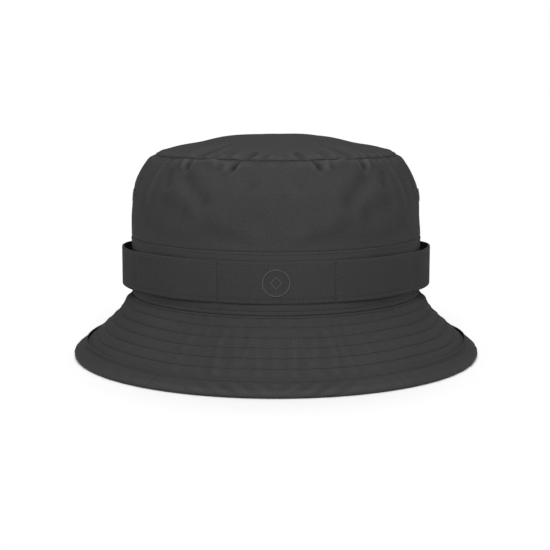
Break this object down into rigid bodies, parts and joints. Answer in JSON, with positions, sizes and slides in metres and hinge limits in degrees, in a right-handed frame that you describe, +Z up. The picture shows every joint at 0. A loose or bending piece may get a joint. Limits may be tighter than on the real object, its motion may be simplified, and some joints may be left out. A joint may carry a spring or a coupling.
{
  "type": "bucket hat",
  "caption": "Soft bucket hat with a flat-topped crown, a loose hatband tacked down round it, and a short sloping brim with stitched rows and a wide bound edge.",
  "frame": {"origin": "centre of the plane that the brim's edge rests on", "axes": "+Z up through the crown, the front of the hat faces -Y, +X to the wearer's left"},
  "size_m": [0.2644, 0.2784, 0.1426],
  "materials": {
    "outer_cloth": "matte ripstop polyester, charcoal",
    "hatband_cloth": "matte ripstop polyester, charcoal, doubled",
    "binding_cloth": "matte ripstop polyester, cut on the bias",
    "interfacing": "stiff non-woven interfacing",
    "lining_cloth": "smooth woven lining",
    "sweatband_cloth": "soft folded twill tape",
    "thread": "polyester thread, tone on tone",
    "eyelet_metal": "black-nickel plated",
    "label_cloth": "woven satin label, blank"
  },
  "bodies": {
    "hat": {"crown_tip": "outer_cloth", "crown_side_front": "outer_cloth", "crown_side_back": "outer_cloth", "crown_base_band": "outer_cloth", "lining_tip": "lining_cloth", "lining_side_front": "lining_cloth", "lining_side_back": "lining_cloth", "sweatband": "sweatband_cloth", "vent_eyelets": "eyelet_metal", "eyelet_washers": "eyelet_metal", "size_tab": "label_cloth", "waist_stitching": "thread", "base_stitching": "thread", "tip_stitching": "thread", "hatband_front": "hatband_cloth", "hatband_back": "hatband_cloth", "hatband_right": "hatband_cloth", "hatband_left": "hatband_cloth", "hatband_stitching": "thread", "hatband_tacks": "thread", "emblem_ring": "thread", "emblem_lozenge": "thread", "brim_top": "outer_cloth", "brim_stiffener": "interfacing", "brim_under": "outer_cloth", "brim_binding": "binding_cloth", "brim_stitching": "thread", "binding_stitching": "thread"},
    "front_brim": {"brim_top_front": "outer_cloth", "brim_stiffener_front": "interfacing", "brim_under_front": "outer_cloth", "brim_binding_front": "binding_cloth", "brim_stitching_front": "thread", "binding_stitching_front": "thread"},
    "back_brim": {"brim_top_back": "outer_cloth", "brim_stiffener_back": "interfacing", "brim_under_back": "outer_cloth", "brim_binding_back": "binding_cloth", "brim_stitching_back": "thread", "binding_stitching_back": "thread"},
    "care_label": {"care_label": "label_cloth"}
  },
  "joints": [
    {"name": "front_brim_lift", "type": "hinge", "parent": "hat", "child": "front_brim", "pos_m": [0, -0.1026, 0.037], "axis": [-1, 0, 0], "range_deg": [0, 40]},
    {"name": "back_brim_lift", "type": "hinge", "parent": "hat", "child": "back_brim", "pos_m": [0, 0.1026, 0.037], "axis": [1, 0, 0], "range_deg": [0, 40]},
    {"name": "care_label_flip", "type": "hinge", "parent": "hat", "child": "care_label", "pos_m": [0, 0.0969, 0.071], "axis": [-1, 0, 0], "range_deg": [0, 150]}
  ]
}
